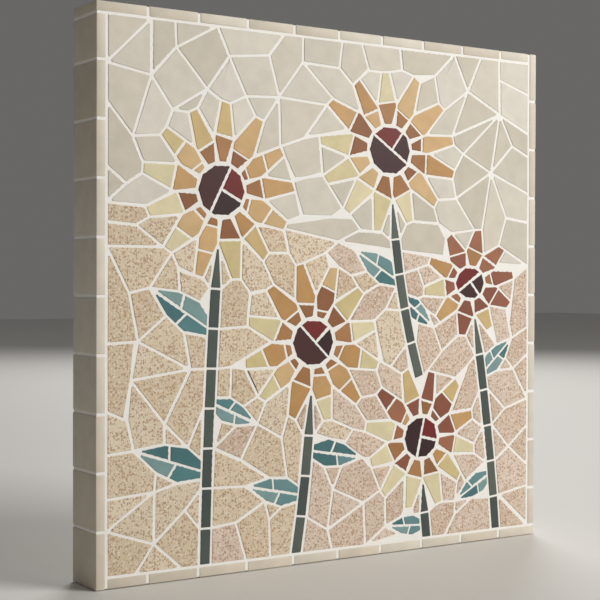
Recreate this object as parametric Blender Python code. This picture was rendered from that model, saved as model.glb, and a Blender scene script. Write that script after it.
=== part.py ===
"""A square mosaic wall panel, standing upright with its face to -Y.

A plywood board carries a skin of broken porcelain tile in pale grout. The face shows five plain daisies on
a quiet upper field and a speckled lower field. Whole and cut tiles, set on edge, run round the four sides.
The origin is the middle of the back face. Plan points are (x, z) in millimetres, and depths count
forward from the back.
"""

import math
import random

import bmesh
import bpy
from mathutils import Vector
from mathutils.geometry import delaunay_2d_cdt, intersect_point_line

MM = 0.001

# The panel as a whole, which these five sizes drive
SIDE = 250.0
TILE = 24.0
TILE_THICK = 4.5
JOINT = 1.1
CLEARANCE = 0.3

# Depths, from the back face forward
BED = 1.5
FACE = TILE
BOARD_THICK = FACE - TILE_THICK - BED
RECESS = 0.4
GROUT_LEVEL = FACE - RECESS
MOTIF_DEPTH = 2 * BED
POCKET_LEVEL = FACE - MOTIF_DEPTH

# Half widths of the layers, from the tiles on edge inward
HALF = SIDE / 2
EDGE_INNER = HALF - TILE_THICK
RING_HALF = EDGE_INNER - CLEARANCE
FIELD_HALF = RING_HALF - CLEARANCE
BOARD_HALF = EDGE_INNER - BED
CELL_HALF = EDGE_INNER - JOINT / 2
ROW_END = EDGE_INNER - JOINT
PITCH = TILE + JOINT
TILES_A_SIDE = math.ceil((HALF + ROW_END) / PITCH)
RIB_WIDTH = JOINT - 2 * CLEARANCE

# How far a flower's or stem's own bed shows round its pieces, and the joint between its pieces
MOTIF_RIM = 0.2
MOTIF_JOINT = 0.9

# The fields' pieces, broken from whole tiles
SEED = 23
SPACING = 0.70 * TILE
CLEAR_OF_MOTIF = 0.27 * TILE
CLEAR_OF_EDGE = 0.38 * TILE
LARGEST_PIECE = 0.70 * TILE ** 2
SMALLEST_PIECE = 0.028 * TILE ** 2
NARROWEST_PIECE = 0.105 * TILE
BEND_ALLOWED = math.radians(9)

# The line between the two fields, from left to right, in shares of the panel's half side
HORIZON_SHARES = ((-0.70, 0.308), (-0.50, 0.264), (-0.25, 0.248), (0, 0.204), (0.26, 0.176), (0.51, 0.156),
                  (0.74, 0.132))
HORIZON = [(-CELL_HALF, 0.32 * HALF), *((x * HALF, z * HALF) for x, z in HORIZON_SHARES),
           (CELL_HALF, 0.12 * HALF)]

# Daisies: middle, reach of the petals, petals, height against width, lean of the stem from straight down,
# the point where the stem ends, and its leaves as (share of the way down, angle, length). Places and
# lengths are shares of the panel's half side.
DAISIES = (
    dict(middle=(0.24, 0.56), reach=0.336, petals=13, squash=0.94, lean=4, foot=(0.388, -0.32),
         leaves=((0.45, 150, 0.24), (0.53, -38, 0.18))),
    dict(middle=(-0.51, 0.376), reach=0.32, petals=13, squash=1.0, lean=-4, foot=(-0.576, -0.97),
         leaves=((0.26, 148, 0.28), (0.48, -24, 0.20), (0.70, 162, 0.29))),
    dict(middle=(0.648, 0.048), reach=0.248, petals=10, squash=0.88, lean=9, foot=(0.79, -0.97),
         leaves=((0.26, 42, 0.20), (0.72, 208, 0.20))),
    dict(middle=(-0.112, -0.176), reach=0.312, petals=12, squash=0.96, lean=-3, foot=(-0.19, -0.97),
         leaves=((0.34, -10, 0.24), (0.62, 168, 0.24))),
    dict(middle=(0.40, -0.56), reach=0.28, petals=12, squash=1.0, lean=3, foot=(0.43, -0.97),
         leaves=((0.72, 176, 0.18),)),
)
HUB_SHARE = 0.30
HUB_SIDES = 10
SHOULDER_SHARE = 0.58
PETAL_FOOT_SHARE = 0.70
PETAL_TIP = 2.0
PETAL_SKEW = 0.7
NOTCH_RISE = 0.4
STEM_HALF = 2.5
STEM_POINT = 0.5
STEM_TOP_GAP = 2.7
STEM_PIECE = 0.75 * TILE
LEAF_WIDTH_SHARE = 0.42
LEAF_CUT_SHIFT = 1.8
LEAF_TIP_RIM = 1.4

# Colours
SKY = (0.62, 0.58, 0.50)
SAND = (0.56, 0.44, 0.33)
GOLD = (0.56, 0.33, 0.12)
BROWN = (0.09, 0.035, 0.03)
TEAL = (0.20, 0.30, 0.30)
TAUPE = (0.60, 0.53, 0.44)
GROUT = (0.82, 0.80, 0.77)
PLY = (0.55, 0.38, 0.22)


def area(loop):
    pairs = zip(loop, loop[1:] + loop[:1])
    return sum(a[0] * b[1] - b[0] * a[1] for a, b in pairs) / 2


def inside(point, loop):
    """True if a closed loop goes round the point."""
    x, z = point
    odd = False
    for a, b in zip(loop, loop[1:] + loop[:1]):
        if (a[1] > z) != (b[1] > z) and x < a[0] + (z - a[1]) * (b[0] - a[0]) / (b[1] - a[1]):
            odd = not odd
    return odd


def in_any(point, loops):
    return any(inside(point, loop) for loop in loops)


def distance_to(point, chain):
    """How far a point lies from an open chain of points."""
    spot = Vector(point)
    nearest = math.inf
    for a, b in zip(chain, chain[1:]):
        foot, share = intersect_point_line(spot, Vector(a), Vector(b))
        foot = Vector(a) if share < 0 else Vector(b) if share > 1 else foot
        nearest = min(nearest, (spot - Vector(foot[:2])).length)
    return nearest


def side_of(loop, start, way):
    """The part of a convex loop to the left of a line."""
    heights = [way[0] * (p[1] - start[1]) - way[1] * (p[0] - start[0]) for p in loop]
    kept = []
    for i, (p, high) in enumerate(zip(loop, heights)):
        q, other = loop[i - 1], heights[i - 1]
        if (high >= 0) != (other >= 0):
            share = other / (other - high)
            kept.append((q[0] + share * (p[0] - q[0]), q[1] + share * (p[1] - q[1])))
        if high >= 0:
            kept.append(p)
    return kept


def inset(loop, margin):
    """A convex loop, wound to the left, drawn in by a margin."""
    shrunk = list(loop)
    for a, b in zip(loop, loop[1:] + loop[:1]):
        way = (Vector(b) - Vector(a)).normalized()
        shrunk = side_of(shrunk, (a[0] - way.y * margin, a[1] + way.x * margin), way)
        if len(shrunk) < 3:
            return []
    return shrunk


def grown(loop, margin):
    """Any loop, wound to the left, with each side moved out by a margin."""
    moved = []
    for i, point in enumerate(loop):
        before = (Vector(point) - Vector(loop[i - 1])).normalized()
        after = (Vector(loop[(i + 1) % len(loop)]) - Vector(point)).normalized()
        out = Vector((before.y + after.y, -before.x - after.x))
        out *= margin / max(0.35, 1 + before.dot(after))
        moved.append((point[0] + out.x, point[1] + out.y))
    return moved


def split(loop, start, way, joint):
    """Two parts of a convex loop, on either side of a joint along a line."""
    way = Vector(way).normalized()
    across = Vector((-way.y, way.x)) * joint / 2
    spot = Vector(start)
    return side_of(loop, spot + across, way), side_of(loop, spot - across, -way)


def tidy(loop, least=0.6, bend=math.radians(4)):
    """A loop without its short sides and its nearly straight corners."""
    points = list(loop)
    changed = True
    while changed and len(points) > 3:
        changed = False
        for i, point in enumerate(points):
            before = Vector(point) - Vector(points[i - 1])
            after = Vector(points[(i + 1) % len(points)]) - Vector(point)
            if before.length < least or before.angle(after, 0) < bend:
                del points[i]
                changed = True
                break
    return points


def width(loop):
    """The least width of a convex loop."""
    narrowest = math.inf
    for a, b in zip(loop, loop[1:] + loop[:1]):
        way = (Vector(b) - Vector(a)).normalized()
        narrowest = min(narrowest, max(way.x * (p[1] - a[1]) - way.y * (p[0] - a[0]) for p in loop))
    return narrowest


def square(half):
    return [(-half, -half), (half, -half), (half, half), (-half, half)]


def quarter_turned(loop, turns):
    """A loop turned clockwise about the middle of the panel, seen from the front."""
    for _ in range(turns):
        loop = [(z, -x) for x, z in loop]
    return loop


def placed(points, spot, degrees):
    """Points given along and across a direction, moved to the panel."""
    along = Vector((math.cos(math.radians(degrees)), math.sin(math.radians(degrees))))
    return [(spot[0] + along.x * u - along.y * v, spot[1] + along.y * u + along.x * v) for u, v in points]


def triangulated(loops, points=(), lines=()):
    """Triangles over loops, open lines and loose points, with each drawn side kept."""
    spots, sides = [], []
    for loop in loops:
        first = len(spots)
        spots.extend(loop)
        sides.extend((first + i, first + (i + 1) % len(loop)) for i in range(len(loop)))
    for line in lines:
        first = len(spots)
        spots.extend(line)
        sides.extend((first + i, first + i + 1) for i in range(len(line) - 1))
    spots.extend(points)
    found = delaunay_2d_cdt([Vector(s) for s in spots], sides, [], 0, 0.001)
    return [tuple(v) for v in found[0]], [list(face) for face in found[2]]


def middle_of(spots, face):
    return sum(spots[i][0] for i in face) / len(face), sum(spots[i][1] for i in face) / len(face)


def plan_spot(face):
    """A face's place in plan, by which it is known again after it has been raised."""
    middle = face.calc_center_median()
    return round(middle.x, 7), round(middle.z, 7)


def finish(name, bm, colour, roughness):
    """Makes a named object from a bmesh, with a material of its own."""
    bmesh.ops.recalc_face_normals(bm, faces=bm.faces)
    mesh = bpy.data.meshes.new(name)
    bm.to_mesh(mesh)
    bm.free()
    material = bpy.data.materials.new(name)
    material.use_nodes = True
    shader = material.node_tree.nodes["Principled BSDF"]
    shader.inputs["Base Color"].default_value = (*colour, 1)
    shader.inputs["Roughness"].default_value = roughness
    shader.inputs["Metallic"].default_value = 0
    mesh.materials.append(material)
    thing = bpy.data.objects.new(name, mesh)
    PARTS.objects.link(thing)
    return thing


def box(name, low, high, depths, colour, roughness):
    """A block between two plan corners and two depths."""
    bm = bmesh.new()
    bmesh.ops.create_cube(bm, size=1)
    size = (high[0] - low[0], depths[1] - depths[0], high[1] - low[1])
    middle = ((low[0] + high[0]) / 2, -(depths[0] + depths[1]) / 2, (low[1] + high[1]) / 2)
    bmesh.ops.scale(bm, vec=Vector(size) * MM, verts=bm.verts)
    bmesh.ops.translate(bm, vec=Vector(middle) * MM, verts=bm.verts)
    return finish(name, bm, colour, roughness)


def stepped(name, bodies, tiles, levels, colour, holes=(), pockets=()):
    """A slab with tiles standing on it and pockets sunk in it, as one solid.

    levels holds the depths of its back, its pockets' floors if it has pockets, its bed and its tiles' faces.
    The flat plan rises step by step, each step with fewer of its faces.
    """
    spots, triangles = triangulated([*bodies, *tiles, *holes, *pockets])
    bm = bmesh.new()
    corners = [bm.verts.new((x * MM, -levels[0] * MM, z * MM)) for x, z in spots]
    first = 0 if pockets else 1
    rising = {}
    for triangle in triangles:
        middle = middle_of(spots, triangle)
        if not in_any(middle, bodies) or in_any(middle, holes):
            continue
        rank = 2 if in_any(middle, tiles) else 0 if in_any(middle, pockets) else 1
        rising[bm.faces.new([corners[i] for i in triangle])] = max(rank, first)
    bmesh.ops.delete(bm, geom=[v for v in bm.verts if not v.link_faces], context="VERTS")
    for rank, (low, high) in zip(range(first, 3), zip(levels, levels[1:])):
        faces = [face for face, step in rising.items() if step >= rank]
        steps = {plan_spot(face): rising[face] for face in faces}
        made = bmesh.ops.extrude_face_region(bm, geom=faces)["geom"]
        bmesh.ops.translate(bm, vec=Vector((0, (low - high) * MM, 0)),
                            verts=[g for g in made if isinstance(g, bmesh.types.BMVert)])
        rising = {g: steps[plan_spot(g)] for g in made if isinstance(g, bmesh.types.BMFace)}
        if rank > first:
            bmesh.ops.delete(bm, geom=faces, context="FACES_ONLY")
    return finish(name, bm, colour, 0.6)


def daisy_plan(middle, reach, petals, squash, lean, dice):
    """The plan of one flower: its petal pieces, centre pieces, petal bed, hub and the notch for the stem."""
    pitch = 2 * math.pi / petals
    down = math.radians(lean - 90)
    gaps = [down + pitch * (k + (dice.uniform(-0.09, 0.09) if k else 0)) for k in range(petals)]
    gaps.append(down + 2 * math.pi)
    lengths = [reach * dice.uniform(0.91, 1.0) for _ in range(petals)]
    hub_radius = HUB_SHARE * reach
    hub = [(r * math.cos(t), r * math.sin(t)) for r, t in
           ((hub_radius * dice.uniform(0.96, 1.03), 2 * math.pi * k / HUB_SIDES) for k in range(HUB_SIDES))]
    foot = hub_radius * 1.04 + CLEARANCE + MOTIF_RIM
    pieces, bed = [], []
    for k, length in enumerate(lengths):
        half = (gaps[k + 1] - gaps[k]) / 2
        axis = math.degrees(gaps[k] + half)
        shoulder = SHOULDER_SHARE * length
        reach_out = shoulder * math.tan(half) - MOTIF_JOINT / 2 / math.cos(half)
        foot_out = PETAL_FOOT_SHARE * (foot * math.tan(half) - MOTIF_JOINT / 2 / math.cos(half))
        skew = dice.uniform(-PETAL_SKEW, PETAL_SKEW)
        tip = ((length - skew, -PETAL_TIP), (length + skew, PETAL_TIP))
        petal = placed(((foot, -foot_out), (shoulder, -reach_out), *tip, (shoulder, reach_out),
                        (foot, foot_out)), (0, 0), axis)
        for share in dice.choice(((0.56,), (0.62,), (0.50,), (0.42, 0.72))):
            cut = ((share * length, 0), (share * length + dice.uniform(-0.25, 0.25), 1))
            start, across = placed(cut, (0, 0), axis)
            inner, petal = split(petal, start, Vector(across) - Vector(start), MOTIF_JOINT)
            pieces.append(inner)
        pieces.append(petal)
        notch = max(shoulder, SHOULDER_SHARE * lengths[k - 1]) + NOTCH_RISE
        bed.append((notch * math.cos(gaps[k]), notch * math.sin(gaps[k])))
        bed.extend(placed(((length - skew + MOTIF_RIM, -PETAL_TIP - MOTIF_RIM),
                           (length + skew + MOTIF_RIM, PETAL_TIP + MOTIF_RIM)), (0, 0), axis))
    turn = dice.uniform(0, math.pi)
    way = Vector((math.cos(turn), math.sin(turn)))
    one, other = split(inset(hub, MOTIF_RIM), (0, 0.1 * hub_radius), way, MOTIF_JOINT)
    core = [one, *split(other, (0.1 * hub_radius, 0), (-way.y, way.x), MOTIF_JOINT)]

    def moved(loop):
        return [(middle[0] + x, middle[1] + z * squash) for x, z in loop]

    return dict(petals=[moved(tidy(p)) for p in pieces], core=[moved(tidy(p)) for p in core],
                bed=moved(bed), hub=moved(hub), notch=moved(bed[:1])[0])


def stem_plan(middle, notch, foot, leaves):
    """The plan of a stem and its leaves: the pieces, and the loops that together outline their bed."""
    top = Vector(notch)
    down = (top - Vector(middle)).normalized()
    top += down * STEM_TOP_GAP
    end = Vector(foot)
    bend = top + down * (end - top).length * 0.5
    count = max(1, round((end - top).length / STEM_PIECE))

    def along(share):
        spot = top * (1 - share) ** 2 + bend * 2 * share * (1 - share) + end * share ** 2
        way = ((bend - top) * (1 - share) + (end - bend) * share).normalized()
        return spot, way

    def sides(half, tip_half, lift):
        """The right and the left side of a strip that runs down the stem, its tip narrowed and lifted."""
        right, left = [], []
        for i in range(count + 1):
            spot, way = along(i / count)
            if i == 0:
                spot = spot - way * lift
            across = Vector((-way.y, way.x)) * (half if i else tip_half)
            right.append(tuple(spot - across))
            left.append(tuple(spot + across))
        return right, left

    right, left = sides(STEM_HALF, STEM_POINT, 0)
    pieces = []
    for i in range(count):
        piece = [right[i], right[i + 1], left[i + 1], left[i]]
        piece = side_of(piece, (0, -CELL_HALF + JOINT / 2), (1, 0))
        if i > 0:
            spot, way = along(i / count)
            piece = side_of(piece, spot + way * MOTIF_JOINT / 2, (way.y, -way.x))
        if i < count - 1:
            spot, way = along((i + 1) / count)
            piece = side_of(piece, spot - way * MOTIF_JOINT / 2, (-way.y, way.x))
        pieces.append(piece)
    right, left = sides(STEM_HALF + MOTIF_RIM, STEM_POINT + MOTIF_RIM, MOTIF_RIM)
    beds = [[*right, *left[::-1]]]
    for share, angle, length in leaves:
        spot, way = along(share)
        clear = Vector((-way.y, way.x)) * (STEM_HALF + MOTIF_JOINT)
        if clear.dot(Vector(placed([(1, 0)], (0, 0), angle)[0])) < 0:
            clear, way = -clear, -way
        wide = LEAF_WIDTH_SHARE * length / 2
        rib = MOTIF_JOINT / 2
        half = [(0, rib), (length, rib), (0.68 * length, 0.78 * wide), (0.36 * length, wide), (0, 0.30 * wide)]
        for mirrored in (False, True):
            blade = [(u, -v) for u, v in half[::-1]] if mirrored else half
            cut = length / 2 + LEAF_CUT_SHIFT * (1 if mirrored else -1)
            for part in split(blade, (cut, 0), (-0.3 if mirrored else 0.3, 1), MOTIF_JOINT):
                pieces.append(tidy(side_of(placed(part, spot, angle), spot + clear, way)))
        rim = MOTIF_RIM
        upper = [(0.68 * length, 0.78 * wide + rim), (0.36 * length, wide + rim), (0, 0.30 * wide + rim)]
        lower = [(u, -v) for u, v in upper[::-1]]
        beds.append(placed([*lower, (length + LEAF_TIP_RIM, 0), *upper], spot, angle))
    return pieces, beds


def horizon_at(x):
    for (x0, z0), (x1, z1) in zip(HORIZON, HORIZON[1:]):
        if x <= x1:
            return z0 + (x - x0) * (z1 - z0) / (x1 - x0)
    return HORIZON[-1][1]


def upper_outline(lift):
    """The upper field's outline, with the line between the fields lifted a little."""
    line = [(x, z + lift) for x, z in HORIZON[1:-1]]
    ends = (-FIELD_HALF, HORIZON[0][1] + lift), (FIELD_HALF, HORIZON[-1][1] + lift)
    return [ends[0], *line, ends[1], (FIELD_HALF, FIELD_HALF), (-FIELD_HALF, FIELD_HALF)]


def lower_outline(lift):
    line = upper_outline(lift)[:-2]
    return [(-FIELD_HALF, -FIELD_HALF), (FIELD_HALF, -FIELD_HALF), *line[::-1]]


def convex(loop):
    """True if a loop turns left all the way round, or bends back only slightly."""
    for i, point in enumerate(loop):
        before = Vector(point) - Vector(loop[i - 1])
        after = Vector(loop[(i + 1) % len(loop)]) - Vector(point)
        if after.angle_signed(before, 0) < -BEND_ALLOWED:
            return False
    return True


def joined(spots, triangles, kinds):
    """Triangles of one kind joined into convex cells, over the longest shared sides first."""
    cells = {i: face for i, face in enumerate(triangles)}
    owner = {}
    for i, face in cells.items():
        for a, b in zip(face, face[1:] + face[:1]):
            owner[a, b] = i
    shared = [pair for pair in owner if pair[0] < pair[1] and pair[::-1] in owner]
    shared.sort(key=lambda pair: -math.dist(spots[pair[0]], spots[pair[1]]))
    for a, b in shared:
        one, other = owner[a, b], owner[b, a]
        if one == other or kinds[one] != kinds[other]:
            continue
        first, second = cells[one], cells[other]
        at = first.index(b)
        head = first[at:] + first[:at]
        at = second.index(a)
        whole = head + (second[at:] + second[:at])[1:-1]
        loop = [spots[i] for i in whole]
        if len(set(whole)) < len(whole) or area(loop) > LARGEST_PIECE or not convex(loop):
            continue
        cells[one] = whole
        del cells[other]
        for start, end in zip(whole, whole[1:] + whole[:1]):
            owner[start, end] = one
    return [([spots[i] for i in face], kinds[number]) for number, face in cells.items()]


def field_pieces(motifs, dice):
    """The broken tiles of both fields, fitted round the motifs: two lists of loops."""
    chains = [loop + loop[:1] for loop in motifs] + [HORIZON]
    scattered = []
    for _ in range(6000):
        reach = CELL_HALF - CLEAR_OF_EDGE
        spot = dice.uniform(-reach, reach), dice.uniform(-reach, reach)
        if any(math.dist(spot, other) < SPACING for other in scattered):
            continue
        if in_any(spot, motifs) or any(distance_to(spot, chain) < CLEAR_OF_MOTIF for chain in chains):
            continue
        scattered.append(spot)
    rim = []
    for turns in range(4):
        count = round(2 * CELL_HALF / SPACING)
        for i in range(1, count):
            x = -CELL_HALF + 2 * CELL_HALF * (i + dice.uniform(-0.25, 0.25)) / count
            spot = quarter_turned([(x, CELL_HALF)], turns)[0]
            if all(distance_to(spot, chain) > CLEAR_OF_MOTIF for chain in chains):
                rim.append(spot)
    spots, triangles = triangulated([square(CELL_HALF), *motifs], scattered + rim, [HORIZON])
    kept, kinds = [], []
    for triangle in triangles:
        x, z = middle_of(spots, triangle)
        if in_any((x, z), motifs) or max(abs(x), abs(z)) > CELL_HALF:
            continue
        kept.append(triangle)
        kinds.append("sky" if z > horizon_at(x) else "sand")
    pieces = {"sky": [], "sand": []}
    for loop, kind in joined(spots, kept, kinds):
        piece = inset(loop, JOINT / 2)
        piece = tidy(piece) if piece else piece
        if len(piece) > 2 and area(piece) > SMALLEST_PIECE and width(piece) > NARROWEST_PIECE:
            pieces[kind].append(piece)
    return pieces["sky"], pieces["sand"]


def edge_tiles():
    """Whole tiles and one cut tile on each side, each row lapping the end of the row before it."""
    for turns, side in enumerate(("top", "right", "bottom", "left")):
        for i in range(TILES_A_SIDE):
            start = -HALF + i * PITCH
            corners = quarter_turned([(start, EDGE_INNER), (min(start + TILE, ROW_END), HALF)], turns)
            low = tuple(map(min, zip(*corners)))
            high = tuple(map(max, zip(*corners)))
            box(f"edge_tile_{side}_{i + 1}", low, high, (0, FACE), TAUPE, 0.6)


def edge_grout():
    """The grout behind the tiles on edge, with a rib in each joint between them."""
    ribs = []
    for turns in range(4):
        for i in range(TILES_A_SIDE):
            x = min(-HALF + i * PITCH + TILE, ROW_END) + JOINT / 2
            near, far = x - RIB_WIDTH / 2, x + RIB_WIDTH / 2
            rib = [(near, RING_HALF), (far, RING_HALF), (far, HALF - CLEARANCE), (near, HALF - CLEARANCE)]
            ribs.append(quarter_turned(rib, turns))
    levels = (0, BOARD_THICK, GROUT_LEVEL)
    hole = square(BOARD_HALF + CLEARANCE)
    stepped("edge_grout", [square(RING_HALF), *ribs], ribs, levels, GROUT, holes=[hole])


def build():
    """The whole panel."""
    dice = random.Random(SEED)
    box("backing_board", (-BOARD_HALF, -BOARD_HALF), (BOARD_HALF, BOARD_HALF), (0, BOARD_THICK), PLY, 0.7)
    edge_tiles()
    edge_grout()
    motif_levels = (POCKET_LEVEL + CLEARANCE, GROUT_LEVEL, FACE)
    pockets = []
    for number, daisy in enumerate(DAISIES, 1):
        middle = tuple(share * HALF for share in daisy["middle"])
        reach = daisy["reach"] * HALF
        plan = daisy_plan(middle, reach, daisy["petals"], daisy["squash"], daisy["lean"], dice)
        stepped(f"daisy_{number}_petals", [plan["bed"]], plan["petals"], motif_levels, GOLD,
                holes=[grown(plan["hub"], CLEARANCE)])
        stepped(f"daisy_{number}_centre", [plan["hub"]], plan["core"], motif_levels, BROWN)
        foot = tuple(share * HALF for share in daisy["foot"])
        leaves = [(share, angle, length * HALF) for share, angle, length in daisy["leaves"]]
        pieces, beds = stem_plan(middle, plan["notch"], foot, leaves)
        beds[0] = side_of(beds[0], (0, -FIELD_HALF), (1, 0))
        stepped(f"daisy_{number}_stem", beds, pieces, motif_levels, TEAL)
        pockets += [grown(loop, CLEARANCE) for loop in (plan["bed"], *beds)]
    sky, sand = field_pieces(pockets, dice)
    field_levels = (BOARD_THICK + CLEARANCE, POCKET_LEVEL, GROUT_LEVEL, FACE)
    stepped("sky_field", [upper_outline(CLEARANCE / 2)], sky, field_levels, SKY, pockets=pockets)
    stepped("sand_field", [lower_outline(-CLEARANCE / 2)], sand, field_levels, SAND, pockets=pockets)


for thing in list(bpy.data.objects):
    bpy.data.objects.remove(thing)
PARTS = bpy.data.collections.new("mosaic_panel")
bpy.context.scene.collection.children.link(PARTS)
build()
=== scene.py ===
"""The look of a square mosaic wall panel: broken matte porcelain tile in white grout, edged with tiles.

The outlines of all the broken tiles come from the frame's solids. Each tile is made again with chipped edges,
a worn arris and a slight tilt, and stands in a sheet of grout with a surface of its own. Lengths are in
metres, and plan points are (x, z).
"""

import math
import random

import bmesh
import bpy
from mathutils import Matrix, Vector, noise


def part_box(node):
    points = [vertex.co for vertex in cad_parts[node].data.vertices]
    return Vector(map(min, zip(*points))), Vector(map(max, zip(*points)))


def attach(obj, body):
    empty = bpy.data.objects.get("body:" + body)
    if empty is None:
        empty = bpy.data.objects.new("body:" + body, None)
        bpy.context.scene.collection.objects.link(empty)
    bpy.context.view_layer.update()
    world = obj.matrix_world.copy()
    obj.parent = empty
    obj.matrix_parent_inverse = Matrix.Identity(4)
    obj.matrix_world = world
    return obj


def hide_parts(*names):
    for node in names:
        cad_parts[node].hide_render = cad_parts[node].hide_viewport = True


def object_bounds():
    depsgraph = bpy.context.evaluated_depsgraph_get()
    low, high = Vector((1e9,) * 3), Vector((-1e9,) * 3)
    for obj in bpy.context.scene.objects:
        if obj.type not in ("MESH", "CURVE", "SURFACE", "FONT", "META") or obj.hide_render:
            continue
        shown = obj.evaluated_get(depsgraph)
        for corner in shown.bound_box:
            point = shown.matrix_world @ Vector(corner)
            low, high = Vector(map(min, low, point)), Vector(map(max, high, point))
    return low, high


MM = 0.001
FRONT_TOLERANCE = 0.02 * MM

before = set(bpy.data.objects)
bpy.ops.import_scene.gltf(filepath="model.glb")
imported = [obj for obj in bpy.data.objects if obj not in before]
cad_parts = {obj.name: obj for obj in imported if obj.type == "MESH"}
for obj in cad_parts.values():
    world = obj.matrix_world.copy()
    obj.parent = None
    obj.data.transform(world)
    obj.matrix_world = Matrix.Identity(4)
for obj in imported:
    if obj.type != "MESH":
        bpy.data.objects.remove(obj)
cad_low, cad_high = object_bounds()
FACE_Y = cad_low[1]
HALF = cad_high[0]

# Broken tiles: the depth of the foot, the worn arris as shares of it inward and down, the spacing of the
# points along a side, and the places of the first and last from a corner
TILE_FOOT = 1.6 * MM
ARRIS = 0.24 * MM
ARRIS_ROUNDING = ((0.0, 1.0), (0.35, 0.3), (1.0, 0.0))
STEP = 1.3 * MM
CHIP = 0.5 * MM

# How a broken tile's corners and sides wander, and how it lies
SNAPPED_WIDTH = 0.9 * MM
SNAPPED_ANGLE = math.radians(55)
CORNER_KNOCK = (0.08 * MM, 0.26 * MM)
SIDE_WANDER = 0.07 * MM
BITE_LENGTH = 3.4 * MM
BITE_DEPTH = 0.38 * MM
TILT = math.radians(0.28)
SUNK = (0.01 * MM, 0.07 * MM)
STRAIGHT = math.radians(1.5)
TILE_SHARP = math.radians(15)

# The share of tiles with nibbled sides
SKY_NIBBLED = 0.12
SAND_NIBBLED = 0.15
PETAL_NIBBLED = 0.3
CENTRE_NIBBLED = 0.9
STEM_NIBBLED = 0.15
LEAF_NIBBLED = 0.55

# Grout: how far it lies back at the front and the sides, its squares, and its slow and quick waves
GROUT_DROP = 0.30 * MM
GROUT_SIDE_DROP = 0.42 * MM
GROUT_GRID = 1.05 * MM
GROUT_WAVE = 0.05 * MM
SLOW_WAVES = 180
QUICK_WAVES = 520
TRAY_GAP = 0.15 * MM
GROUT_SHARP = math.radians(50)

# Edge tiles
EDGE_ARRIS = 0.5 * MM
EDGE_DROP = 0.12 * MM

# Camera: its turn, rise and roll in degrees, and its place in panel widths
CAMERA_TURN = -33.321
CAMERA_RISE = 0.726
CAMERA_ROLL = 0.182
CAMERA_SPOT = (-1.486, -2.223, 0.024)
LENS = 82.4

# Studio lamps, in metres and watts
KEY_SPOT, KEY_SIZE, KEY_POWER = (0.95, -1.15, 0.75), 0.9, 24
BACK_SPOT, BACK_SIZE, BACK_POWER = (0.9, 1.2, 0.9), 0.8, 12
SKY_LIGHT = 0.14
FLOOR_SIZE = 4
FLOOR_GAP = 0.2 * MM

SEED = 7


def srgb(red, green, blue):
    """A linear colour from one measured on a screen, with channels up to 255."""
    def linear(value):
        value /= 255
        return value / 12.92 if value <= 0.04045 else ((value + 0.055) / 1.055) ** 2.4
    return linear(red), linear(green), linear(blue)


SKY = [srgb(*c) for c in ((207, 200, 185), (213, 207, 193), (202, 194, 178), (217, 211, 199),
                          (210, 202, 187))]
SAND_YELLOW = [srgb(*c) for c in ((222, 205, 178), (217, 199, 171), (226, 211, 186))]
SAND_PINK = [srgb(*c) for c in ((218, 198, 180), (212, 191, 172), (222, 204, 188))]
PETAL_INNER = [srgb(*c) for c in ((150, 102, 60), (162, 113, 69), (142, 92, 57), (172, 124, 78))]
PETAL_MIDDLE = [srgb(*c) for c in ((196, 156, 104), (206, 170, 120), (186, 142, 88), (208, 176, 128))]
PETAL_OUTER = [srgb(*c) for c in ((214, 201, 156), (208, 190, 138), (221, 210, 172), (204, 178, 124))]
PETAL_RUST = [srgb(*c) for c in ((146, 90, 68), (136, 80, 60), (158, 103, 75))]
CENTRE = [srgb(*c) for c in ((60, 30, 31), (70, 36, 35), (50, 26, 28))]
CRIMSON = srgb(112, 30, 28)
LEAF = [srgb(*c) for c in ((70, 114, 118), (84, 130, 134), (124, 156, 156), (102, 142, 144))]
STEM = [srgb(*c) for c in ((78, 88, 82), (70, 80, 76), (88, 97, 90))]
EDGE = [srgb(*c) for c in ((215, 205, 188), (210, 200, 183), (219, 211, 196))]

# Flecks in the speckled tiles: cells a metre, size in a cell, share of the cells that have one, and colour
FLECKS = ((760, 0.44, 0.58, srgb(178, 144, 114)), (1150, 0.36, 0.34, srgb(140, 104, 80)),
          (900, 0.38, 0.40, srgb(238, 228, 214)))

# How the sand turns pinker to the right and downward from a level, in half sides, and how much it varies
PINK_ACROSS = 0.55
PINK_DOWN = 0.45
PINK_LEVEL = -0.3
PINK_SPREAD = 0.25

# How a flower's tones change outward, and the share of its tiles with a stray tone
INNER_END = 0.5
MIDDLE_END = 0.66
STRAY_SHARE = 0.22
RUSTY_DAISIES = (3, 5)
RUSTY_SHARE = 0.35

# The spread of one tone from tile to tile
SHADE_SPREAD = 0.035
EDGE_SHADE_SPREAD = 0.03
TILE_GLOSS = 0.28

# How much further a stem's tile spreads upright than across, squared, and its greatest lean in degrees
STEM_SLIMNESS = 2.5
STEM_LEAN = 25


def tile_loops(node):
    """The outlines of the tiles' faces on a CAD node, each wound to the left as seen from the front."""
    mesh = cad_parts[node].data
    spots = [(round(v.co.x, 6), round(v.co.z, 6)) for v in mesh.vertices]
    in_front = [v.co.y < FACE_Y + FRONT_TOLERANCE for v in mesh.vertices]
    sides = set()
    for face in mesh.polygons:
        if all(in_front[i] for i in face.vertices):
            ring = [spots[i] for i in face.vertices]
            sides.update(zip(ring, ring[1:] + ring[:1]))
    following = {a: b for a, b in sides if (b, a) not in sides}
    loops = []
    while following:
        start = min(following)
        loop = [start]
        spot = following.pop(start)
        while spot != start:
            loop.append(spot)
            spot = following.pop(spot)
        loops.append(without_straights(loop if area(loop) > 0 else loop[::-1]))
    return loops


def area(loop):
    return sum(a[0] * b[1] - b[0] * a[1] for a, b in zip(loop, loop[1:] + loop[:1])) / 2


def middle_of(loop):
    return Vector((sum(p[0] for p in loop) / len(loop), sum(p[1] for p in loop) / len(loop)))


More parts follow.
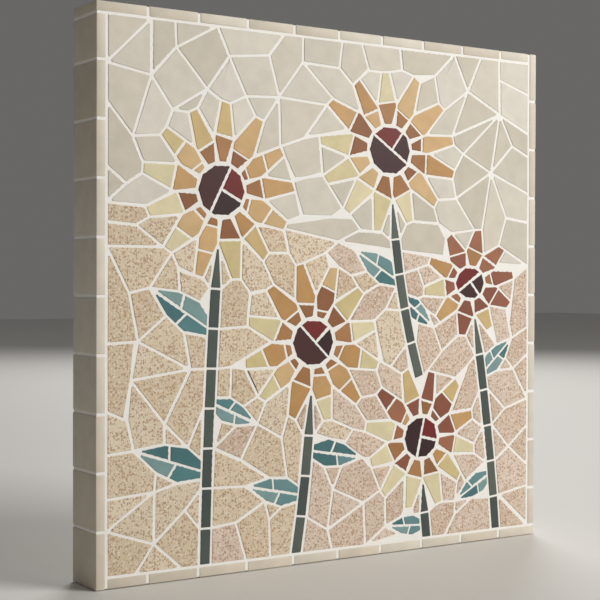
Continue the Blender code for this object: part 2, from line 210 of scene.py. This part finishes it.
def without_straights(loop):
    """A loop without the points that lie on a straight side."""
    kept = []
    for i, spot in enumerate(loop):
        before = Vector(spot) - Vector(loop[i - 1])
        after = Vector(loop[(i + 1) % len(loop)]) - Vector(spot)
        if before.angle(after, 0) > STRAIGHT:
            kept.append(spot)
    return kept


def snapped(loop):
    """A loop with each sharp corner snapped off where the tile gets too narrow to keep one."""
    kept = []
    for i, spot in enumerate(loop):
        corner = Vector(spot)
        back = Vector(loop[i - 1]) - corner
        ahead = Vector(loop[(i + 1) % len(loop)]) - corner
        sharpness = back.angle(ahead)
        if sharpness > SNAPPED_ANGLE:
            kept.append(spot)
            continue
        cut = SNAPPED_WIDTH / 2 / math.sin(sharpness / 2)
        kept.extend(tuple(corner + way.normalized() * min(cut, 0.45 * way.length)) for way in (back, ahead))
    return kept


def chipped(loop, dice, bitten):
    """A tile's outline with knocked corners and uneven or nibbled sides, never outside the loop."""
    centre = middle_of(loop)
    loop = snapped(loop)
    points = []
    for a, b in zip(loop, loop[1:] + loop[:1]):
        start, end = Vector(a), Vector(b)
        length = (end - start).length
        along = (end - start) / length
        inward = Vector((-along.y, along.x))
        corner = start.lerp(centre, min(0.3, dice.uniform(*CORNER_KNOCK) / (centre - start).length))
        points.append(corner)
        if length < 2.4 * CHIP:
            continue
        nibbled = dice.random() < bitten and length > 1.5 * BITE_LENGTH
        bites = max(1, round(length / BITE_LENGTH)) if nibbled else 1
        depth = BITE_DEPTH * dice.uniform(0.5, 1.0) if nibbled else 0.0
        count = max(1, round((length - 2 * CHIP) / STEP))
        for i in range(count + 1):
            run = CHIP + (length - 2 * CHIP) * i / count
            bite = depth * abs(math.sin(math.pi * bites * run / length))
            points.append(start + along * run + inward * (bite + dice.uniform(0, SIDE_WANDER)))
    return points


def drawn_in(points, margin):
    """The points of an outline moved inward, less at sharp corners."""
    moved = []
    for i, spot in enumerate(points):
        before = (spot - points[i - 1]).normalized()
        after = (points[(i + 1) % len(points)] - spot).normalized()
        inward = Vector((-before.y - after.y, before.x + after.x))
        moved.append(spot + inward * margin / max(0.8, 1 + before.dot(after)))
    return moved


class Pile:
    """Gathers many tiles into one mesh, with a colour at each point."""

    def __init__(self):
        self.points, self.faces, self.colours = [], [], []

    def add_tile(self, loop, colour, dice, bitten):
        """A broken tile, with its foot in the grout, a worn arris and a slightly tilted top."""
        outline = chipped(loop, dice, bitten)
        centre = middle_of(loop)
        slope = Vector((dice.uniform(-TILT, TILT), dice.uniform(-TILT, TILT)))
        rise = max(slope.dot(p - centre) for p in outline)
        top = FACE_Y + rise + dice.uniform(*SUNK)
        rings = [(outline, TILE_FOOT)]
        rings += [(drawn_in(outline, inward * ARRIS), down * ARRIS) for inward, down in ARRIS_ROUNDING]
        first, count = len(self.points), len(outline)
        for ring, drop in rings:
            for spot in ring:
                height = 0 if drop == TILE_FOOT else slope.dot(spot - centre)
                self.points.append((spot.x, top + drop - height, spot.y))
        shade = dice.uniform(1 - SHADE_SPREAD, 1 + SHADE_SPREAD)
        self.colours.extend([(*(c * shade for c in colour), 1)] * (count * len(rings)))
        for level in range(len(rings) - 1):
            low = first + level * count
            for i in range(count):
                j = (i + 1) % count
                self.faces.append((low + i, low + j, low + count + j, low + count + i))
        top_ring = first + (len(rings) - 1) * count
        self.faces.append(tuple(range(top_ring, top_ring + count)))
        self.faces.append(tuple(range(first + count - 1, first - 1, -1)))

    def add_block(self, low, high, colour, dice):
        """A rounded block, for a whole tile on edge."""
        block = bmesh.new()
        bmesh.ops.create_cube(block, size=1)
        bmesh.ops.scale(block, vec=Vector(high) - Vector(low), verts=block.verts)
        bmesh.ops.translate(block, vec=(Vector(high) + Vector(low)) / 2, verts=block.verts)
        bmesh.ops.bevel(block, geom=block.edges, offset=EDGE_ARRIS, segments=3, affect="EDGES", profile=0.5)
        first = len(self.points)
        self.points.extend(tuple(v.co) for v in block.verts)
        block.verts.index_update()
        self.faces.extend(tuple(first + v.index for v in face.verts) for face in block.faces)
        shade = dice.uniform(1 - EDGE_SHADE_SPREAD, 1 + EDGE_SHADE_SPREAD)
        self.colours.extend([(*(c * shade for c in colour), 1)] * len(block.verts))
        block.free()

    def finish(self, name, material, slot, *nodes):
        """Makes the piece, which stands for the CAD nodes."""
        mesh = bpy.data.meshes.new(name)
        mesh.from_pydata(self.points, [], self.faces)
        mesh.update()
        layer = mesh.color_attributes.new("tile_colour", "FLOAT_COLOR", "POINT")
        for item, colour in zip(layer.data, self.colours):
            item.color = colour
        mesh.shade_smooth()
        mesh.set_sharp_from_angle(angle=TILE_SHARP)
        mesh.materials.append(material)
        thing = bpy.data.objects.new(name, mesh)
        bpy.context.scene.collection.objects.link(thing)
        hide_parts(*nodes)
        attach(thing, "root")


class Nodes:
    """Short calls for building a material's node tree."""

    def __init__(self, name, roughness, gloss=0.5):
        self.material = bpy.data.materials.new(name)
        self.material.use_nodes = True
        self.tree = self.material.node_tree
        self.shader = self.tree.nodes["Principled BSDF"]
        self.shader.inputs["Roughness"].default_value = roughness
        self.shader.inputs["Specular IOR Level"].default_value = gloss
        self.places = self.add("ShaderNodeTexCoord").outputs["Object"]

    def add(self, kind, **settings):
        node = self.tree.nodes.new(kind)
        for key, value in settings.items():
            setattr(node, key, value)
        return node

    def join(self, output, socket):
        self.tree.links.new(output, socket)

    def noise(self, scale, detail=2.0, stretch=None, roughness=0.5):
        node = self.add("ShaderNodeTexNoise")
        node.inputs["Scale"].default_value = scale
        node.inputs["Detail"].default_value = detail
        node.inputs["Roughness"].default_value = roughness
        self.join(self.stretched(stretch), node.inputs["Vector"])
        return node.outputs["Fac"]

    def stretched(self, stretch):
        if stretch is None:
            return self.places
        mapping = self.add("ShaderNodeMapping")
        mapping.inputs["Scale"].default_value = stretch
        self.join(self.places, mapping.inputs["Vector"])
        return mapping.outputs["Vector"]

    def cells(self, scale):
        node = self.add("ShaderNodeTexVoronoi")
        node.inputs["Scale"].default_value = scale
        self.join(self.places, node.inputs["Vector"])
        return node.outputs["Distance"], node.outputs["Color"]

    def channel(self, colour):
        """One number from a colour, such as a cell's random one."""
        node = self.add("ShaderNodeSeparateColor")
        self.join(colour, node.inputs["Color"])
        return node.outputs["Red"]

    def range(self, value, low, high, out_low=0.0, out_high=1.0):
        node = self.add("ShaderNodeMapRange")
        for name, number in zip(("From Min", "From Max", "To Min", "To Max"), (low, high, out_low, out_high)):
            node.inputs[name].default_value = number
        self.join(value, node.inputs["Value"])
        return node.outputs["Result"]

    def times(self, one, other):
        node = self.add("ShaderNodeMath", operation="MULTIPLY")
        for value, socket in zip((one, other), node.inputs):
            if isinstance(value, float):
                socket.default_value = value
            else:
                self.join(value, socket)
        return node.outputs["Value"]

    def mix(self, share, one, other, kind="MIX"):
        node = self.add("ShaderNodeMix", data_type="RGBA", blend_type=kind)
        for name, value in (("Factor", share), ("A", one), ("B", other)):
            socket = node.inputs[name]
            if isinstance(value, tuple):
                socket.default_value = (*value, 1)
            elif isinstance(value, float):
                socket.default_value = value
            else:
                self.join(value, socket)
        return node.outputs["Result"]

    def tile_colour(self):
        return self.add("ShaderNodeAttribute", attribute_name="tile_colour").outputs["Color"]

    def bump(self, height, distance, strength=1.0):
        node = self.add("ShaderNodeBump")
        node.inputs["Distance"].default_value = distance
        node.inputs["Strength"].default_value = strength
        self.join(height, node.inputs["Height"])
        self.join(node.outputs["Normal"], self.shader.inputs["Normal"])

    def colour(self, output):
        self.join(output, self.shader.inputs["Base Color"])


def matte_tile(name, roughness=0.5, mottle=0.05):
    """Unglazed porcelain of one colour a tile, with a faint cloudiness and a fine grain."""
    look = Nodes(name, roughness, TILE_GLOSS)
    cloud = look.range(look.noise(140, 3), 0.3, 0.7, 1 - mottle, 1 + mottle)
    grain = look.range(look.noise(2600, 1), 0.3, 0.7, 0.975, 1.02)
    tone = look.add("ShaderNodeCombineColor")
    value = look.times(cloud, grain)
    for socket in tone.inputs:
        if socket.name in ("Red", "Green", "Blue"):
            look.join(value, socket)
    look.colour(look.mix(1.0, look.tile_colour(), tone.outputs["Color"], "MULTIPLY"))
    look.bump(look.noise(1500, 2), 0.03 * MM, 0.5)
    return look.material


def speckled_tile(name):
    """Porcelain flecked with brown, rust and pale grains."""
    look = Nodes(name, 0.5, TILE_GLOSS)
    base = look.tile_colour()
    for scale, size, share, fleck in FLECKS:
        distance, pick = look.cells(scale)
        chosen = look.range(look.channel(pick), share - 0.02, share + 0.02, 1.0, 0.0)
        dot = look.range(distance, size - 0.09, size + 0.09, 1.0, 0.0)
        base = look.mix(look.times(look.times(chosen, dot), 0.75), base, fleck)
    cloud = look.range(look.noise(110, 3), 0.3, 0.7, 0.0, 0.12)
    look.colour(look.mix(cloud, base, srgb(188, 156, 126)))
    look.bump(look.noise(1500, 2), 0.03 * MM, 0.5)
    return look.material


def grout_look():
    """White cement grout, sandy and a little uneven."""
    look = Nodes("grout", 0.85)
    stain = look.range(look.noise(60, 4), 0.35, 0.7, 0.0, 0.5)
    base = look.mix(stain, srgb(250, 248, 244), srgb(240, 237, 230))
    grain = look.range(look.noise(2200, 2), 0.35, 0.65, 0.0, 0.2)
    look.colour(look.mix(grain, base, srgb(220, 216, 208)))
    look.bump(look.noise(1400, 3), 0.12 * MM, 0.6)
    return look.material


def plywood_look():
    """Bare plywood, with the grain of its outer sheet running upright."""
    look = Nodes("plywood", 0.7)
    waves = look.noise(9, 5, stretch=(7.0, 1.0, 0.7), roughness=0.6)
    fibres = look.noise(260, 3, stretch=(3.0, 1.0, 0.06))
    base = look.mix(look.range(waves, 0.35, 0.65), srgb(206, 172, 128), srgb(176, 136, 92))
    look.colour(look.mix(look.range(fibres, 0.35, 0.75, 0.0, 0.55), base, srgb(150, 112, 74)))
    look.bump(fibres, 0.1 * MM, 0.5)
    return look.material


def stage_look(name, colour, roughness):
    look = Nodes(name, roughness)
    look.shader.inputs["Base Color"].default_value = (*colour, 1)
    return look.material


def sky_tiles(look, dice):
    pile = Pile()
    for loop in tile_loops("sky_field"):
        pile.add_tile(loop, dice.choice(SKY), dice, SKY_NIBBLED)
    pile.finish("sky_tiles", look, "pale_tile", "sky_field")


def sand_tiles(look, dice):
    """The lower field, yellower at the left and pinker to the right and below."""
    pile = Pile()
    for loop in tile_loops("sand_field"):
        x, z = middle_of(loop) / HALF
        pink = PINK_ACROSS * x - PINK_DOWN * (z - PINK_LEVEL) + dice.uniform(-PINK_SPREAD, PINK_SPREAD)
        pile.add_tile(loop, dice.choice(SAND_PINK if pink > 0 else SAND_YELLOW), dice, SAND_NIBBLED)
    pile.finish("sand_tiles", look, "speckled_tile", "sand_field")


def daisy_tiles(number, look, dice):
    """One flower, its petals from brown near the centre to cream at the tips."""
    heart = middle_of([tuple(middle_of(loop)) for loop in tile_loops(f"daisy_{number}_centre")])
    petals = tile_loops(f"daisy_{number}_petals")
    reach = max((Vector(p) - heart).length for loop in petals for p in loop)
    pile = Pile()
    for loop in petals:
        share = (middle_of(loop) - heart).length / reach
        tones = PETAL_INNER if share < INNER_END else PETAL_MIDDLE if share < MIDDLE_END else PETAL_OUTER
        if dice.random() < STRAY_SHARE:
            tones = PETAL_MIDDLE
        if number in RUSTY_DAISIES and dice.random() < RUSTY_SHARE:
            tones = PETAL_RUST
        pile.add_tile(loop, dice.choice(tones), dice, PETAL_NIBBLED)
    pile.finish(f"daisy_{number}_petal_tiles", look, "golden_tile", f"daisy_{number}_petals")
    pile = Pile()
    for i, loop in enumerate(tile_loops(f"daisy_{number}_centre")):
        pile.add_tile(loop, CRIMSON if i == number % 3 else dice.choice(CENTRE), dice, CENTRE_NIBBLED)
    pile.finish(f"daisy_{number}_centre_tiles", look, "brown_tile", f"daisy_{number}_centre")


def upright(loop):
    """True if a tile is long, narrow and nearly upright, as a stem's are and a leaf's aren't."""
    centre = middle_of(loop)
    xx = sum((p[0] - centre.x) ** 2 for p in loop)
    zz = sum((p[1] - centre.y) ** 2 for p in loop)
    xz = sum((p[0] - centre.x) * (p[1] - centre.y) for p in loop)
    lean = abs(math.degrees(0.5 * math.atan2(2 * xz, zz - xx)))
    return zz > STEM_SLIMNESS * xx and lean < STEM_LEAN


def stem_tiles(number, look, dice):
    """One flower's stem in grey green, with its leaves in shades of teal."""
    pile = Pile()
    for loop in tile_loops(f"daisy_{number}_stem"):
        if upright(loop):
            pile.add_tile(loop, dice.choice(STEM), dice, STEM_NIBBLED)
        else:
            pile.add_tile(loop, dice.choice(LEAF), dice, LEAF_NIBBLED)
    pile.finish(f"daisy_{number}_stem_tiles", look, "teal_tile", f"daisy_{number}_stem")


def edge_tiles(look, dice):
    """The whole and cut tiles on edge, each set a hair deeper or shallower than the next."""
    pile = Pile()
    nodes = sorted(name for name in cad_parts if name.startswith("edge_tile_"))
    for name in nodes:
        low, high = (Vector(corner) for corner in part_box(name))
        # The axis that the tile faces along: X for the left and right rows, Z for the top and bottom ones
        outward = 0 if high.x - low.x < high.z - low.z and abs(low.x + high.x) > HALF else 2
        drop = dice.uniform(0, EDGE_DROP)
        if low[outward] + high[outward] > 0:
            high[outward] -= drop
        else:
            low[outward] += drop
        low.y += dice.uniform(0, EDGE_DROP)
        high.y -= dice.uniform(0, EDGE_DROP)
        pile.add_block(low, high, dice.choice(EDGE), dice)
    pile.finish("edge_tiles", look, "edge_tile", *nodes)


def lattice(low, high):
    """Evenly spaced values from low to high, about one grid step apart."""
    count = round((high - low) / GROUT_GRID)
    return [low + (high - low) * i / count for i in range(count + 1)]


def grout_sheet(look):
    """The grout, as one body: a sheet behind the broken tiles with sides behind the edge tiles.

    A box of small squares, open at the back round the board, with each outer point moved by a slow noise.
    """
    outer = HALF - GROUT_SIDE_DROP
    board_low, board_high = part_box("backing_board")
    lines = lattice(-outer, outer)
    depths = lattice(FACE_Y + GROUT_DROP, -GROUT_SIDE_DROP)
    last, back = len(lines) - 1, len(depths) - 1
    rim = next(i for i, x in enumerate(lines) if x > board_low.x) - 1
    body = bmesh.new()
    corners = {}

    def point(i, j, k):
        """The point at column i, depth j and row k, made when it is first asked for."""
        if (i, j, k) not in corners:
            spot = Vector((lines[i], depths[j], lines[k]))
            wave = GROUT_WAVE * (noise.noise(spot * SLOW_WAVES) + 0.5 * noise.noise(spot * QUICK_WAVES))
            if j == 0:
                spot.y += wave
            spot.x += wave * ((i == last) - (i == 0))
            spot.z += wave * ((k == last) - (k == 0))
            corners[i, j, k] = body.verts.new(spot)
        return corners[i, j, k]

    def sheet(us, vs, place, flipped):
        """One side of the box, from the rule that places its points."""
        for u in us:
            for v in vs:
                ring = [place(u, v), place(u + 1, v), place(u + 1, v + 1), place(u, v + 1)]
                body.faces.new(ring[::-1] if flipped else ring)

    across, deep = range(last), range(back)
    sheet(across, across, lambda u, v: point(u, 0, v), False)
    sheet(across, deep, lambda u, v: point(u, v, 0), True)
    sheet(across, deep, lambda u, v: point(u, v, last), False)
    sheet(deep, across, lambda u, v: point(0, u, v), True)
    sheet(deep, across, lambda u, v: point(last, u, v), False)
    for u in across:
        for v in across:
            if min(u, v, last - 1 - u, last - 1 - v) < rim:
                body.faces.new([point(u, back, v + 1), point(u + 1, back, v + 1), point(u + 1, back, v),
                                point(u, back, v)])
    run = range(rim, last - rim)
    ring = [point(u, back, rim) for u in run] + [point(last - rim, back, v) for v in run]
    ring += [point(last - u, back, last - rim) for u in run] + [point(rim, back, last - v) for v in run]
    inner = board_high.x + TRAY_GAP
    for vert in ring:
        vert.co.x = max(-inner, min(inner, vert.co.x))
        vert.co.z = max(-inner, min(inner, vert.co.z))
        if abs(vert.co.x) < inner and abs(vert.co.z) < inner:
            raise ValueError("the grout's rim has a point inside the board")
    floor = [body.verts.new((vert.co.x, board_low.y - TRAY_GAP, vert.co.z)) for vert in ring]
    for i in range(len(ring)):
        body.faces.new([ring[i - 1], ring[i], floor[i], floor[i - 1]])
    body.faces.new(floor)
    bmesh.ops.recalc_face_normals(body, faces=body.faces)
    mesh = bpy.data.meshes.new("grout_sheet")
    body.to_mesh(mesh)
    body.free()
    mesh.shade_smooth()
    mesh.set_sharp_from_angle(angle=GROUT_SHARP)
    mesh.materials.append(look)
    thing = bpy.data.objects.new("grout_sheet", mesh)
    bpy.context.scene.collection.objects.link(thing)
    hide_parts("edge_grout")
    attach(thing, "root")


def camera():
    """The camera of the photograph, from the panel's corners in it."""
    turn, rise, roll = (math.radians(angle) for angle in (CAMERA_TURN, CAMERA_RISE, CAMERA_ROLL))
    spot = Vector(CAMERA_SPOT) * 2 * HALF
    back = Vector((math.sin(turn) * math.cos(rise), -math.cos(turn) * math.cos(rise), math.sin(rise)))
    right = Vector((math.cos(turn), math.sin(turn), 0))
    up = back.cross(right)
    level = right * math.cos(roll) + up * math.sin(roll)
    upward = up * math.cos(roll) - right * math.sin(roll)
    data = bpy.data.cameras.new("camera")
    data.lens = LENS
    data.sensor_width = 36
    data.clip_start = 0.01
    thing = bpy.data.objects.new("camera", data)
    thing.matrix_world = Matrix.Translation(spot) @ Matrix((level, upward, back)).transposed().to_4x4()
    bpy.context.scene.collection.objects.link(thing)
    bpy.context.scene.camera = thing


def light(name, spot, size, power, colour):
    """A square lamp that faces the panel."""
    data = bpy.data.lights.new(name, "AREA")
    data.size = size
    data.energy = power
    data.color = colour
    thing = bpy.data.objects.new(name, data)
    thing.location = spot
    thing.rotation_euler = (-Vector(spot)).to_track_quat("-Z", "Y").to_euler()
    bpy.context.scene.collection.objects.link(thing)


def studio():
    """A pale floor just under the panel, large lamps at the right front and behind, and a dim even sky."""
    floor = bmesh.new()
    bmesh.ops.create_grid(floor, x_segments=1, y_segments=1, size=FLOOR_SIZE)
    mesh = bpy.data.meshes.new("floor")
    floor.to_mesh(mesh)
    floor.free()
    mesh.materials.append(stage_look("floor", srgb(222, 220, 216), 0.6))
    thing = bpy.data.objects.new("floor", mesh)
    thing.location.z = -HALF - FLOOR_GAP
    bpy.context.scene.collection.objects.link(thing)
    light("key", KEY_SPOT, KEY_SIZE, KEY_POWER, (1.0, 0.985, 0.955))
    light("back", BACK_SPOT, BACK_SIZE, BACK_POWER, (1.0, 0.99, 0.97))
    world = bpy.data.worlds.new("studio")
    world.use_nodes = True
    background = world.node_tree.nodes["Background"]
    background.inputs["Color"].default_value = (1.0, 0.98, 0.95, 1)
    background.inputs["Strength"].default_value = SKY_LIGHT
    bpy.context.scene.world = world
    bpy.context.scene.view_settings.view_transform = "Standard"


dice = random.Random(SEED)
plain = matte_tile("plain_porcelain")
bright = matte_tile("coloured_porcelain", 0.45, 0.07)
sky_tiles(plain, dice)
sand_tiles(speckled_tile("speckled_porcelain"), dice)
for number in range(1, 6):
    daisy_tiles(number, bright, dice)
    stem_tiles(number, bright, dice)
edge_tiles(plain, dice)
grout_sheet(grout_look())
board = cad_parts["backing_board"]
board.data.materials.clear()
board.data.materials.append(plywood_look())
studio()
camera()
